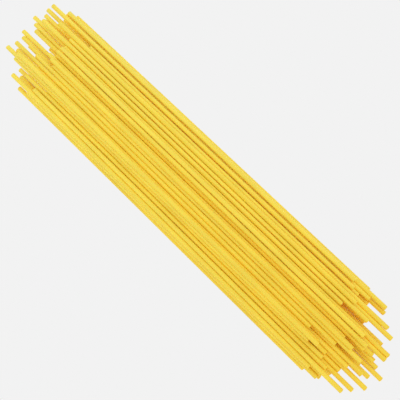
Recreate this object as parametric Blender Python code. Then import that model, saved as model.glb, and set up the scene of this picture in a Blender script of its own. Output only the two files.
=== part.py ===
"""A bundle of dry spaghetti, one portion, lying loose on a flat surface.

The strands all lie along X. The bundle is one solid out to its uneven outline: every strand is an
eight-sided bar, a little fat so that neighbours merge, and thin webs close the gaps between strands
that lie in threes. The origin is on the surface, under the middle of the bundle.
"""

import math
import random

import bmesh
import bpy

MM = 0.001

# Driving dimensions, in millimetres unless they say otherwise.
STRAND_DIAMETER = 2.37
PITCH = 2.4                 # centre to centre of two strands that touch, with their slight bow
STRAND_LENGTH = 200.0
FLOOR_STRANDS = 21          # in the row that lies on the surface
FLOOR_HALF_WIDTH = 24.4     # from the middle to the centre of the outermost strand
BAR_SIDES = 8
BAR_FATNESS = 1.03          # flat-to-flat size of a bar, in pitches
WEB_REACH = 1.5             # strands nearer than this many pitches are joined by a web
WEB_SHORT = 0.6             # a web stops this far short of the strand end that it reaches first
SEED = 5

# The heap inside: up to which height the hollows are filled, as (from y, to y, rows of strands).
FILLED_HOLLOWS = [(-24.0, 14.4, 2), (-14.2, 11.5, 3)]
ROW_RISE = 0.87             # height of one row on the next, in pitches

# The strands laid on top by hand, in their order: (y, left end, right end).
LAID_STRANDS = [
    (23.1, -100.0, 106.5), (15.9, -124.0, 89.5), (18.3, -93.5, 93.0), (20.7, -114.5, 98.0),
    (-22.2, -108.0, 98.0), (-20.0, -93.5, 115.5), (-17.5, -102.5, 104.0), (-15.1, -114.0, 99.5),
    (22.1, -113.5, 87.0), (18.9, -122.5, 89.0), (16.0, -90.5, 112.5), (13.6, -88.5, 117.0),
    (11.7, -100.5, 103.5), (14.0, -111.0, 94.0), (9.0, -118.5, 89.5), (6.5, -99.0, 107.0),
    (4.0, -97.0, 105.5), (0.9, -98.5, 110.5), (-1.6, -102.0, 100.5), (-4.3, -95.5, 113.0),
    (-6.7, -106.0, 99.5), (-9.1, -119.0, 86.0), (-11.5, -115.5, 93.0), (-13.9, -120.5, 89.5),
    (4.9, -98.5, 106.0), (2.3, -99.0, 110.0), (-3.0, -98.0, 106.0), (-12.7, -112.5, 93.5),
]

# Inside the heap, the strand ends that show, by row from the surface up: (y, end).
LEFT_ENDS = {
    1: [(24.4, -111.0), (18.8, -114.5), (4.4, -119.5), (2.0, -107.5), (-17.2, -110.0),
        (-19.6, -106.5), (-24.4, -102.5)],
    2: [(12.8, -122.5), (10.4, -120.5), (8.0, -126.0), (5.6, -122.5), (3.2, -119.5), (-1.6, -124.0),
        (-4.0, -121.5), (-18.4, -95.0), (-20.8, -95.0)],
    3: [(-0.4, -100.0), (-2.8, -97.0), (-5.2, -114.0)],
}
RIGHT_ENDS = {
    1: [(24.4, 95.5), (21.2, 108.0), (18.8, 99.5), (16.4, 110.5), (11.6, 104.0), (9.2, 116.5),
        (6.8, 120.0), (-0.4, 121.5), (-2.8, 126.5), (-5.2, 115.0), (-7.6, 118.5), (-12.4, 109.5),
        (-14.8, 109.5), (-17.2, 108.0), (-22.0, 105.5), (-24.4, 97.5)],
    2: [(0.8, 118.0), (-6.4, 121.0), (-11.2, 123.5), (-13.6, 109.5), (-16.0, 119.5), (-23.2, 104.0)],
    3: [(9.2, 90.0), (6.8, 121.0), (4.4, 121.0), (2.0, 115.5), (-7.6, 117.5), (-10.0, 110.5)],
}
INSIDE_SHIFT = 5.0          # most that a hidden strand lies off the middle, either way
CUTTER_HALF_WIDTH = 40.0
CUTTER_DEPTH = 10.0
PASTA_COLOUR = (0.87, 0.60, 0.07, 1.0)
PASTA_ROUGHNESS = 0.5


def distance(a, b):
    return math.hypot(a[0] - b[0], a[1] - b[1])


def floor_row():
    """Centres (y, z) of the strands on the surface: side by side, only the last a little apart."""
    height = STRAND_DIAMETER / 2
    row = [(-FLOOR_HALF_WIDTH + PITCH * i, height) for i in range(FLOOR_STRANDS - 1)]
    return row + [(FLOOR_HALF_WIDTH, height)]


def seat(a, b):
    """Centre of a strand that rests on a and b, or None where they are too far apart."""
    apart = distance(a, b)
    if apart >= 2 * PITCH:
        return None
    lift = math.sqrt(PITCH ** 2 - apart ** 2 / 4)
    across, up = (b[0] - a[0]) / apart, (b[1] - a[1]) / apart
    if across < 0:
        across, up = -across, -up
    return ((a[0] + b[0]) / 2 - up * lift, (a[1] + b[1]) / 2 + across * lift)


def inside_heap(centre):
    for start, stop, rows in FILLED_HOLLOWS:
        top = STRAND_DIAMETER / 2 + PITCH * ROW_RISE * (rows - 0.5)
        if start < centre[0] < stop and centre[1] < top:
            return True
    return False


def fill_hollows(heap):
    """Rest a strand in each hollow, lowest first, until the inside of the heap is full."""
    apart = PITCH - 1e-6
    while True:
        seats = []
        for i, a in enumerate(heap):
            for b in heap[i + 1:]:
                centre = seat(a, b)
                if centre and inside_heap(centre) and all(distance(centre, c) > apart for c in heap):
                    seats.append(centre)
        if not seats:
            return
        heap.append(min(seats, key=lambda centre: (round(centre[1], 3), centre[0])))


def lay(heap, across):
    """Centre of a strand let down at this y until it touches what lies there."""
    height = STRAND_DIAMETER / 2
    for y, z in heap:
        offset = abs(across - y)
        if offset < PITCH - 0.001:
            height = max(height, z + math.sqrt(PITCH ** 2 - offset ** 2))
    return (across, height)


def shown_ends(centres, rows):
    """The ends in LEFT_ENDS or RIGHT_ENDS, by the index of the strand that each belongs to."""
    ends = {}
    for row, tips in rows.items():
        up = STRAND_DIAMETER / 2 + PITCH * ROW_RISE * (row - 1)
        for across, end in tips:
            nearest = min(range(len(centres)), key=lambda i: distance(centres[i], (across, up)))
            ends[nearest] = end
    return ends


def inside_ends(centres):
    """Ends (left, right) of each floor and inside strand."""
    draw = random.Random(SEED)
    left_shown, right_shown = shown_ends(centres, LEFT_ENDS), shown_ends(centres, RIGHT_ENDS)
    ends = []
    for i in range(len(centres)):
        left, right = left_shown.get(i), right_shown.get(i)
        if left is None and right is None:
            left = draw.uniform(-INSIDE_SHIFT, INSIDE_SHIFT) - INSIDE_SHIFT - STRAND_LENGTH / 2
        if left is None:
            left = right - STRAND_LENGTH
        if right is None:
            right = left + STRAND_LENGTH
        ends.append((left, right))
    return ends


def heap_strands():
    """Every strand of the bundle as (y, z, left end, right end)."""
    heap = floor_row()
    fill_hollows(heap)
    strands = [centre + ends for centre, ends in zip(heap, inside_ends(heap))]
    for across, left, right in LAID_STRANDS:
        centre = lay(heap, across)
        heap.append(centre)
        strands.append(centre + (left, right))
    middle = (min(strand[2] for strand in strands) + max(strand[3] for strand in strands)) / 2
    return [(y, z, left - middle, right - middle) for y, z, left, right in strands]


def add_prism(bm, outline, left, right):
    """A closed prism along X from an outline of (y, z) points."""
    ring = [bm.verts.new((left * MM, y * MM, z * MM)) for y, z in outline]
    face = bm.faces.new(ring)
    grown = bmesh.ops.extrude_face_region(bm, geom=[face], use_keep_orig=True)
    moved = [item for item in grown["geom"] if isinstance(item, bmesh.types.BMVert)]
    bmesh.ops.translate(bm, verts=moved, vec=((right - left) * MM, 0, 0))


def add_bar(bm, strand):
    """One strand as a bar with a flat side down."""
    y, z, left, right = strand
    corner = PITCH * BAR_FATNESS / 2 / math.cos(math.pi / BAR_SIDES)
    turns = [2 * math.pi * (i + 0.5) / BAR_SIDES for i in range(BAR_SIDES)]
    outline = [(y + corner * math.cos(turn), z + corner * math.sin(turn)) for turn in turns]
    add_prism(bm, outline, left, right)


def add_webs(bm, strands):
    """Close the gap between each three strands that lie together, as far as all three reach."""
    reach = WEB_REACH * PITCH
    for i, a in enumerate(strands):
        near = [b for b in strands[i + 1:] if distance(a, b) < reach]
        for j, b in enumerate(near):
            for c in near[j + 1:]:
                if distance(b, c) < reach:
                    left = max(a[2], b[2], c[2]) + WEB_SHORT
                    right = min(a[3], b[3], c[3]) - WEB_SHORT
                    add_prism(bm, [a[:2], b[:2], c[:2]], left, right)


def pasta_material():
    material = bpy.data.materials.new("pasta")
    material.use_nodes = True
    shader = material.node_tree.nodes["Principled BSDF"]
    shader.inputs["Base Color"].default_value = PASTA_COLOUR
    shader.inputs["Roughness"].default_value = PASTA_ROUGHNESS
    shader.inputs["Metallic"].default_value = 0.0
    return material


def new_object(name, bm):
    bmesh.ops.recalc_face_normals(bm, faces=bm.faces)
    mesh = bpy.data.meshes.new(name)
    bm.to_mesh(mesh)
    bm.free()
    thing = bpy.data.objects.new(name, mesh)
    bpy.context.scene.collection.objects.link(thing)
    return thing


def build_bundle(strands):
    """The bars and webs in one mesh, which the cut below also unites into one body."""
    bm = bmesh.new()
    for strand in strands:
        add_bar(bm, strand)
    add_webs(bm, strands)
    bundle = new_object("spaghetti_bundle", bm)
    bundle.data.materials.append(pasta_material())
    return bundle


def build_floor_cutter():
    """A slab whose top is the surface, to give the lowest bars one level flat side."""
    bm = bmesh.new()
    corners = [(-CUTTER_HALF_WIDTH, -CUTTER_DEPTH), (CUTTER_HALF_WIDTH, -CUTTER_DEPTH),
               (CUTTER_HALF_WIDTH, 0.0), (-CUTTER_HALF_WIDTH, 0.0)]
    add_prism(bm, corners, -STRAND_LENGTH, STRAND_LENGTH)
    cutter = new_object("floor_cutter", bm)
    cutter.hide_render = True
    cutter.display_type = "WIRE"
    return cutter


def main():
    for leftover in list(bpy.data.objects):
        bpy.data.objects.remove(leftover, do_unlink=True)
    strands = heap_strands()
    bundle = build_bundle(strands)
    cut = bundle.modifiers.new("unite_and_level", "BOOLEAN")
    cut.operation = "DIFFERENCE"
    cut.object = build_floor_cutter()
    cut.use_self = True
    print("strands:", len(strands))


main()
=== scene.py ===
import math
import random

import bmesh
import bpy
from mathutils import Matrix, Vector


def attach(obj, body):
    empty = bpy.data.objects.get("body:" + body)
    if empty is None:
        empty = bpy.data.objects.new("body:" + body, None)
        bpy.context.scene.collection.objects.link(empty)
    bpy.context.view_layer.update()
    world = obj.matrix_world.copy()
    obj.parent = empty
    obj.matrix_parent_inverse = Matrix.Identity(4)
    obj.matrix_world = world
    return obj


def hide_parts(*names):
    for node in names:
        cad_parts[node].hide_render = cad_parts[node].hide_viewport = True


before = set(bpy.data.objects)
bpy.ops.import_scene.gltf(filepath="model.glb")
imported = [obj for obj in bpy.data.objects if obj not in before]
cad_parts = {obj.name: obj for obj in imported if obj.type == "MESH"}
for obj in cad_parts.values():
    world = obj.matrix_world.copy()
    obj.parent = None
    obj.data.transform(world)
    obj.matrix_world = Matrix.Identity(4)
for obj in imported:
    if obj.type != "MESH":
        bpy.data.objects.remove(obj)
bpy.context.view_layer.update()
print("packed bundle loaded")

# The heap: where the strands lie. They all run along X, and every length is in metres.
heap = {
    "strandDiameter": 0.00237,
    "pitch": 0.0024,            # centre to centre of two strands that touch, with their slight bow
    "strandLength": 0.200,
    "floorStrands": 21,
    "floorHalfWidth": 0.0244,
    "rowRise": 0.87,            # height of one row on the next, in pitches
    "hollows": [(-0.0240, 0.0144, 2), (-0.0142, 0.0115, 3)],   # from y, to y, rows filled
    "insideShift": 0.005,       # most that a hidden strand lies off the middle, either way
    "seatSlack": 1e-9,          # two seats this little too close still count as touching
    "touchSlack": 1e-6,         # the same for a strand let down on top
    "seed": 5,
}

# strands laid on top, in their order: y, left end, right end
laidStrands = [
    (0.0231, -0.1000, 0.1065), (0.0159, -0.1240, 0.0895), (0.0183, -0.0935, 0.0930),
    (0.0207, -0.1145, 0.0980), (-0.0222, -0.1080, 0.0980), (-0.0200, -0.0935, 0.1155),
    (-0.0175, -0.1025, 0.1040), (-0.0151, -0.1140, 0.0995), (0.0221, -0.1135, 0.0870),
    (0.0189, -0.1225, 0.0890), (0.0160, -0.0905, 0.1125), (0.0136, -0.0885, 0.1170),
    (0.0117, -0.1005, 0.1035), (0.0140, -0.1110, 0.0940), (0.0090, -0.1185, 0.0895),
    (0.0065, -0.0990, 0.1070), (0.0040, -0.0970, 0.1055), (0.0009, -0.0985, 0.1105),
    (-0.0016, -0.1020, 0.1005), (-0.0043, -0.0955, 0.1130), (-0.0067, -0.1060, 0.0995),
    (-0.0091, -0.1190, 0.0860), (-0.0115, -0.1155, 0.0930), (-0.0139, -0.1205, 0.0895),
    (0.0049, -0.0985, 0.1060), (0.0023, -0.0990, 0.1100), (-0.0030, -0.0980, 0.1060),
    (-0.0127, -0.1125, 0.0935),
]

# inside the heap, the strand ends that show or that close a gap, by row from the floor up: y, end
leftEnds = {
    1: [(0.0244, -0.1110), (0.0188, -0.1145), (0.0044, -0.1195), (0.0020, -0.1075),
        (-0.0172, -0.1100), (-0.0196, -0.1065), (-0.0244, -0.1025)],
    2: [(0.0128, -0.1225), (0.0104, -0.1205), (0.0080, -0.1260), (0.0056, -0.1225),
        (0.0032, -0.1195), (-0.0016, -0.1240), (-0.0040, -0.1215), (-0.0184, -0.0950),
        (-0.0208, -0.0950)],
    3: [(-0.0004, -0.1000), (-0.0028, -0.0970), (-0.0052, -0.1140)],
}
rightEnds = {
    1: [(0.0244, 0.0955), (0.0212, 0.1080), (0.0188, 0.0995), (0.0164, 0.1105), (0.0116, 0.1040),
        (0.0092, 0.1165), (0.0068, 0.1200), (-0.0004, 0.1215), (-0.0028, 0.1265), (-0.0052, 0.1150),
        (-0.0076, 0.1185), (-0.0124, 0.1095), (-0.0148, 0.1095), (-0.0172, 0.1080),
        (-0.0220, 0.1055), (-0.0244, 0.0975)],
    2: [(0.0008, 0.1180), (-0.0064, 0.1210), (-0.0112, 0.1235), (-0.0136, 0.1095),
        (-0.0160, 0.1195), (-0.0232, 0.1040)],
    3: [(0.0092, 0.0900), (0.0068, 0.1210), (0.0044, 0.1210), (0.0020, 0.1155), (-0.0076, 0.1175),
        (-0.0100, 0.1105)],
}


def distance(a, b):
    return math.hypot(a[0] - b[0], a[1] - b[1])


def floorRow():   # side by side, only the last one lies a little apart
    edge = heap["floorHalfWidth"]
    height = heap["strandDiameter"] / 2
    row = [(-edge + heap["pitch"] * i, height) for i in range(heap["floorStrands"] - 1)]
    return row + [(edge, height)]


def seatOn(a, b):   # centre of a strand that rests on a and b
    apart = distance(a, b)
    if apart >= 2 * heap["pitch"]:
        return None
    lift = math.sqrt(heap["pitch"] ** 2 - apart ** 2 / 4)
    across, up = (b[0] - a[0]) / apart, (b[1] - a[1]) / apart
    if across < 0:
        across, up = -across, -up
    return ((a[0] + b[0]) / 2 - up * lift, (a[1] + b[1]) / 2 + across * lift)


def insideHeap(centre):
    for start, stop, rows in heap["hollows"]:
        top = heap["strandDiameter"] / 2 + heap["pitch"] * heap["rowRise"] * (rows - 0.5)
        if start < centre[0] < stop and centre[1] < top:
            return True
    return False


def fillHollows(centres):   # lowest hollow first, until the inside is full
    apart = heap["pitch"] - heap["seatSlack"]
    while True:
        seats = []
        for i, a in enumerate(centres):
            for b in centres[i + 1:]:
                seat = seatOn(a, b)
                if seat and insideHeap(seat) and all(distance(seat, c) > apart for c in centres):
                    seats.append(seat)
        if not seats:
            return
        centres.append(min(seats, key=lambda seat: (round(seat[1], 6), seat[0])))


def letDown(centres, across):   # a strand comes down at this y until it touches what lies there
    height = heap["strandDiameter"] / 2
    for y, z in centres:
        offset = abs(across - y)
        if offset < heap["pitch"] - heap["touchSlack"]:
            height = max(height, z + math.sqrt(heap["pitch"] ** 2 - offset ** 2))
    return (across, height)


def shownEnds(centres, rows):   # each end goes to the strand that lies nearest to its place
    ends = {}
    for row, tips in rows.items():
        up = heap["strandDiameter"] / 2 + heap["pitch"] * heap["rowRise"] * (row - 1)
        for across, end in tips:
            nearest = min(range(len(centres)), key=lambda i: distance(centres[i], (across, up)))
            ends[nearest] = end
    return ends


def insideEnds(centres):   # a strand with no end that shows lies near the middle
    dice = random.Random(heap["seed"])
    leftShown, rightShown = shownEnds(centres, leftEnds), shownEnds(centres, rightEnds)
    shift = heap["insideShift"]
    ends = []
    for i in range(len(centres)):
        left, right = leftShown.get(i), rightShown.get(i)
        if left is None and right is None:
            left = dice.uniform(-shift, shift) - shift - heap["strandLength"] / 2
        if left is None:
            left = right - heap["strandLength"]
        if right is None:
            right = left + heap["strandLength"]
        ends.append((left, right))
    return ends


def packHeap():   # every strand as (y, z, left end, right end)
    centres = floorRow()
    fillHollows(centres)
    strands = [centre + ends for centre, ends in zip(centres, insideEnds(centres))]
    for across, left, right in laidStrands:
        centre = letDown(centres, across)
        centres.append(centre)
        strands.append(centre + (left, right))
    middle = (min(s[2] for s in strands) + max(s[3] for s in strands)) / 2
    return [(y, z, left - middle, right - middle) for y, z, left, right in strands]


strands = packHeap()
print("strands packed:", len(strands))


# Materials
pastaFinish = {
    "pale": (0.988, 0.80, 0.106, 1),
    "usual": (0.982, 0.755, 0.072, 1),
    "deep": (0.965, 0.685, 0.046, 1),
    "endReach": 0.12,           # from the middle to where the painted end light and shade is in full
    "paintedEndLightAndShade": (0.32, -0.34),  # painted light and shade added to a strand's tone: paler at the left end as if lit from the left, deeper at the right end as if in shade
    "cloudAlong": 0.12,         # the clouds are this much slower along the strand
    "cloudScale": 420,
    "cloudDetail": 3,
    "cloudRange": (0.3, 0.7),
    "cloudShade": (0.93, 1.04),
    "grainAlong": 0.04,         # the die's drag marks are this much slower along the strand
    "grainScale": 2600,
    "grainDetail": 4,
    "grainDepth": 0.000012,
    "grainStrength": 0.15,
    "roughness": (0.42, 0.60),
    "specular": 0.4,
    "glow": 0.15,               # share of the light that goes into the pasta
    "glowRadius": (1.0, 0.55, 0.12),
    "glowDepth": 0.0006,
}


def newMaterial(name):
    material = bpy.data.materials.new(name)
    material.use_nodes = True
    return material


def addRange(tree, value, before, after):   # turns the range before into the range after
    node = tree.nodes.new("ShaderNodeMapRange")
    for name, number in zip(("From Min", "From Max", "To Min", "To Max"), before + after):
        node.inputs[name].default_value = number
    tree.links.new(value, node.inputs["Value"])
    return node.outputs["Result"]


def addNoise(tree, coords, along, scale, detail):   # noise that is drawn out along the strands
    stretch = tree.nodes.new("ShaderNodeMapping")
    stretch.inputs["Scale"].default_value = (along, 1, 1)
    tree.links.new(coords, stretch.inputs["Vector"])
    noise = tree.nodes.new("ShaderNodeTexNoise")
    noise.inputs["Scale"].default_value = scale
    noise.inputs["Detail"].default_value = detail
    tree.links.new(stretch.outputs["Vector"], noise.inputs["Vector"])
    return noise.outputs["Fac"]


def addToneAndEndLight(tree, coords):   # every strand has its own tone, made paler towards its left end by painted light and deeper towards its right end by painted shade
    nodes, links = tree.nodes, tree.links
    tone = nodes.new("ShaderNodeAttribute")
    tone.attribute_name = "strandTone"
    place = nodes.new("ShaderNodeSeparateXYZ")
    links.new(coords, place.inputs["Vector"])
    reach = pastaFinish["endReach"]
    # painted light and shade along the strand, from paler at the left to deeper at the right
    endLightAndShade = addRange(tree, place.outputs["X"], (-reach, reach), pastaFinish["paintedEndLightAndShade"])
    toneHere = nodes.new("ShaderNodeMath")
    links.new(tone.outputs["Fac"], toneHere.inputs[0])
    links.new(endLightAndShade, toneHere.inputs[1])
    shades = nodes.new("ShaderNodeValToRGB")
    shades.color_ramp.elements[0].color = pastaFinish["deep"]
    shades.color_ramp.elements[1].color = pastaFinish["pale"]
    shades.color_ramp.elements.new(0.5).color = pastaFinish["usual"]
    links.new(toneHere.outputs["Value"], shades.inputs["Fac"])
    return shades.outputs["Color"]


def makeDryPasta():
    material = newMaterial("dryPasta")
    tree = material.node_tree
    nodes, links = tree.nodes, tree.links
    shader = nodes["Principled BSDF"]
    coords = nodes.new("ShaderNodeTexCoord").outputs["Object"]
    # slow clouds along the strand
    cloud = addNoise(tree, coords, pastaFinish["cloudAlong"], pastaFinish["cloudScale"],
                     pastaFinish["cloudDetail"])
    tint = nodes.new("ShaderNodeVectorMath")
    tint.operation = "SCALE"
    links.new(addToneAndEndLight(tree, coords), tint.inputs[0])
    links.new(addRange(tree, cloud, pastaFinish["cloudRange"], pastaFinish["cloudShade"]),
              tint.inputs["Scale"])
    links.new(tint.outputs["Vector"], shader.inputs["Base Color"])
    # drag marks of the die, as fine lines along the strand
    grain = addNoise(tree, coords, pastaFinish["grainAlong"], pastaFinish["grainScale"],
                     pastaFinish["grainDetail"])
    bump = nodes.new("ShaderNodeBump")
    bump.inputs["Strength"].default_value = pastaFinish["grainStrength"]
    bump.inputs["Distance"].default_value = pastaFinish["grainDepth"]
    links.new(grain, bump.inputs["Height"])
    links.new(bump.outputs["Normal"], shader.inputs["Normal"])
    links.new(addRange(tree, grain, (0, 1), pastaFinish["roughness"]), shader.inputs["Roughness"])
    shader.inputs["Subsurface Weight"].default_value = pastaFinish["glow"]
    shader.inputs["Subsurface Radius"].default_value = pastaFinish["glowRadius"]
    shader.inputs["Subsurface Scale"].default_value = pastaFinish["glowDepth"]
    shader.inputs["Specular IOR Level"].default_value = pastaFinish["specular"]
    return material


dryPasta = makeDryPasta()
print("material made")


# One strand: a nearly straight round rod with cut ends
strandShape = {
    "sides": 20,
    "sections": 8,
    "thinnest": 0.99,           # radius of the thinnest strand, as a share of the full radius
    "rim": 0.00010,             # rounding of a cut end's edge
    "rimSegments": 2,
    "dimple": 0.00035,          # width of the sloping band round a cut face
    "dimpleDepth": 0.00006,
    "dimpleRange": (-0.3, 1.0),  # from slightly domed to fully dished
    "slant": 4.0,               # most that a cut is off square, in degrees
    "bow": 0.00004,             # most that the middle lies off the straight line
    "insideToneAndShade": (0.15, 0.50),  # from deep, 0, to pale, 1; deeper than the laid strands' range, as painted shade for strands lying under the top ones
    "laidTone": (0.35, 0.65),
    "deeperStrands": {15: 0.25, 17: 0.10, 22: 0.0},   # place in laidStrands, from 0: tone
    "seed": 21,
}


def runsAlong(edge, length):   # a side edge of the rod, not one round a cut end
    return abs(edge.verts[0].co.x - edge.verts[1].co.x) > length / 2


def finishCuts(bm, dice):   # dished cut faces, a little off square
    caps = [face for face in bm.faces if abs(face.normal.x) > 0.99]   # those that look along X
    bmesh.ops.inset_individual(bm, faces=caps, thickness=strandShape["dimple"])
    for cap in caps:
        sink = dice.uniform(*strandShape["dimpleRange"]) * strandShape["dimpleDepth"]
        outward = 1 if cap.normal.x > 0 else -1
        bmesh.ops.translate(bm, verts=cap.verts, vec=(-sink * outward, 0, 0))
    steepest = math.tan(math.radians(strandShape["slant"]))
    for side in (-1, 1):
        slope = Vector((dice.uniform(-1, 1), dice.uniform(-1, 1))) * steepest
        for vert in bm.verts:
            if vert.co.x * side > 0:
                vert.co.x += vert.co.y * slope.x + vert.co.z * slope.y


def bendRod(bm, length, dice):
    way = dice.uniform(0, 2 * math.pi)
    bow = dice.uniform(0, strandShape["bow"])
    for vert in bm.verts:
        bend = bow * math.cos(math.pi * vert.co.x / length)
        vert.co.y += bend * math.cos(way)
        vert.co.z += bend * math.sin(way)


def makeStrand(strand, dice):
    y, z, left, right = strand
    length = right - left
    bm = bmesh.new()
    roll = Matrix.Rotation(dice.uniform(0, math.pi), 4, "Z")
    alongX = Matrix.Rotation(math.radians(90), 4, "Y")
    radius = heap["strandDiameter"] / 2 * dice.uniform(strandShape["thinnest"], 1.0)
    bmesh.ops.create_cone(bm, cap_ends=True, segments=strandShape["sides"], radius1=radius,
                          radius2=radius, depth=length, matrix=alongX @ roll)
    rims = [edge for edge in bm.edges if not runsAlong(edge, length)]
    bmesh.ops.bevel(bm, geom=rims, offset=strandShape["rim"], segments=strandShape["rimSegments"],
                    profile=0.5, affect="EDGES", material=-1)
    finishCuts(bm, dice)
    longEdges = [edge for edge in bm.edges if runsAlong(edge, length)]
    bmesh.ops.subdivide_edges(bm, edges=longEdges, cuts=strandShape["sections"] - 1)
    bendRod(bm, length, dice)
    bmesh.ops.translate(bm, verts=bm.verts, vec=((left + right) / 2, y, z))
    return bm


def joinInto(whole, bm, toneLayer, tone):
    part = bpy.data.meshes.new("part")
    bm.to_mesh(part)
    bm.free()
    before = len(whole.verts)
    whole.from_mesh(part)
    bpy.data.meshes.remove(part)
    whole.verts.ensure_lookup_table()
    for vert in whole.verts[before:]:
        vert[toneLayer] = tone


def addObject(name, data):
    thing = bpy.data.objects.new(name, data)
    bpy.context.scene.collection.objects.link(thing)
    return thing


sharpAngle = 40   # in degrees, above which an edge stays crisp


def newPiece(name, bm, material):
    bmesh.ops.recalc_face_normals(bm, faces=bm.faces)
    mesh = bpy.data.meshes.new(name)
    bm.to_mesh(mesh)
    bm.free()
    mesh.materials.append(material)
    mesh.shade_smooth()
    mesh.set_sharp_from_angle(angle=math.radians(sharpAngle))
    return addObject(name, mesh)


def makeStrands():
    dice = random.Random(strandShape["seed"])
    whole = bmesh.new()
    toneLayer = whole.verts.layers.float.new("strandTone")
    inner = len(strands) - len(laidStrands)
    for i, strand in enumerate(strands):
        bm = makeStrand(strand, dice)
        # strands inside the heap draw a random tone from a deeper range, which paints the shade
        # they lie in
        low, high = strandShape["insideToneAndShade"] if i < inner else strandShape["laidTone"]
        tone = dice.uniform(low, high)
        joinInto(whole, bm, toneLayer, strandShape["deeperStrands"].get(i - inner, tone))
    return newPiece("looseStrands", whole, dryPasta)


looseStrands = makeStrands()
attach(looseStrands, "root")
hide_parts("spaghetti_bundle")
print("strands made:", len(looseStrands.data.polygons), "faces")


# The core closes the hollows between the strands, deep inside the heap
coreShape = {
    "halfLength": 0.088,
    "halfWidth": 0.0215,
    "cover": 0.0016,            # depth of the core's top under the strands' top
    "bottom": 0.0009,
    "thinnest": 0.0003,
    "across": 24,
    "along": 8,
    "lookRound": (-2, -1, 0, 1, 2),   # places checked on either side, in thirds of a pitch
}


def heapTop(y, x):   # height of the strands over this place
    tops = [0.0]
    radius = heap["pitch"] / 2
    for across, height, left, right in strands:
        offset = abs(across - y)
        if offset < radius and left < x < right:
            tops.append(height + math.sqrt(radius ** 2 - offset ** 2))
    return max(tops)


def makeCore():
    bm = bmesh.new()
    stretch = Matrix.Diagonal((coreShape["halfLength"], coreShape["halfWidth"], 1, 1))
    bmesh.ops.create_grid(bm, x_segments=coreShape["along"], y_segments=coreShape["across"], size=1,
                          matrix=stretch)
    bmesh.ops.translate(bm, verts=bm.verts, vec=(0, 0, coreShape["bottom"]))
    grown = bmesh.ops.extrude_face_region(bm, geom=bm.faces[:], use_keep_orig=True)
    topVerts = [item for item in grown["geom"] if isinstance(item, bmesh.types.BMVert)]
    for vert in topVerts:
        near = [heapTop(vert.co.y + step * heap["pitch"] / 3, vert.co.x)
                for step in coreShape["lookRound"]]
        vert.co.z = max(coreShape["bottom"] + coreShape["thinnest"], min(near) - coreShape["cover"])
    return newPiece("heapCore", bm, dryPasta)


heapCore = makeCore()
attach(heapCore, "root")
print("core made")


# Floor, light and camera
studio = {
    "paper": (0.888, 0.888, 0.888, 1),
    "floorSize": 3.0,           # from the middle to an edge
    "bounces": 12,
    "worldStrength": 0.93,
    "keyPower": 0.2,
    "keySize": 0.5,
    "keyFrom": Vector((0.15, 0.45, 0.75)),
    "fillPower": 0.1,
    "fillSize": 0.5,
    "fillFrom": Vector((-0.6, 0.1, 0.5)),
}


def makeFloor():
    bm = bmesh.new()
    bmesh.ops.create_grid(bm, x_segments=1, y_segments=1, size=studio["floorSize"])
    mesh = bpy.data.meshes.new("floor")
    bm.to_mesh(mesh)
    bm.free()
    floor = addObject("floor", mesh)
    material = newMaterial("paper")
    shader = material.node_tree.nodes["Principled BSDF"]
    shader.inputs["Base Color"].default_value = (0, 0, 0, 1)
    shader.inputs["Specular IOR Level"].default_value = 0
    shader.inputs["Emission Color"].default_value = studio["paper"]
    shader.inputs["Emission Strength"].default_value = 1
    mesh.materials.append(material)


def makeWorld():
    world = bpy.data.worlds.new("studio")
    world.use_nodes = True
    bpy.context.scene.world = world
    nodes, links = world.node_tree.nodes, world.node_tree.links
    seen = nodes["Background"]
    seen.inputs["Color"].default_value = studio["paper"]
    light = nodes.new("ShaderNodeBackground")
    light.inputs["Color"].default_value = (1, 1, 1, 1)
    light.inputs["Strength"].default_value = studio["worldStrength"]
    path = nodes.new("ShaderNodeLightPath")
    either = nodes.new("ShaderNodeMixShader")
    links.new(path.outputs["Is Camera Ray"], either.inputs["Fac"])
    links.new(light.outputs["Background"], either.inputs[1])
    links.new(seen.outputs["Background"], either.inputs[2])
    links.new(either.outputs["Shader"], nodes["World Output"].inputs["Surface"])


def makeLight(name, place, size, power):
    light = bpy.data.lights.new(name, "AREA")
    light.shape = "DISK"
    light.size = size
    light.energy = power
    lamp = addObject(name, light)
    lamp.location = place
    lamp.rotation_mode = "QUATERNION"
    lamp.rotation_quaternion = (-place).to_track_quat("-Z", "Y")


makeFloor()
makeWorld()
makeLight("keyLight", studio["keyFrom"], studio["keySize"], studio["keyPower"])
makeLight("fillLight", studio["fillFrom"], studio["fillSize"], studio["fillPower"])
bpy.context.scene.view_settings.view_transform = "Standard"
bpy.context.scene.cycles.diffuse_bounces = studio["bounces"]
print("studio made")

cameraSet = {
    "azimuth": 44.57,
    "elevation": 77.34,
    "lookAt": Vector((0.00765, -0.00218, 0.00936)),
    "distance": 0.2683,
    "lens": 50.0,
    "sensor": 36.0,
    "clip": (0.01, 20),
}


def makeCamera():
    azimuth, elevation = math.radians(cameraSet["azimuth"]), math.radians(cameraSet["elevation"])
    level = math.cos(elevation)
    back = Vector((math.sin(azimuth) * level, -math.cos(azimuth) * level, math.sin(elevation)))
    data = bpy.data.cameras.new("camera")
    data.lens = cameraSet["lens"]
    data.sensor_width = cameraSet["sensor"]
    data.clip_start, data.clip_end = cameraSet["clip"]
    camera = addObject("camera", data)
    camera.location = cameraSet["lookAt"] + back * cameraSet["distance"]
    camera.rotation_mode = "QUATERNION"
    camera.rotation_quaternion = (-back).to_track_quat("-Z", "Y")
    bpy.context.scene.camera = camera


makeCamera()
print("camera set")
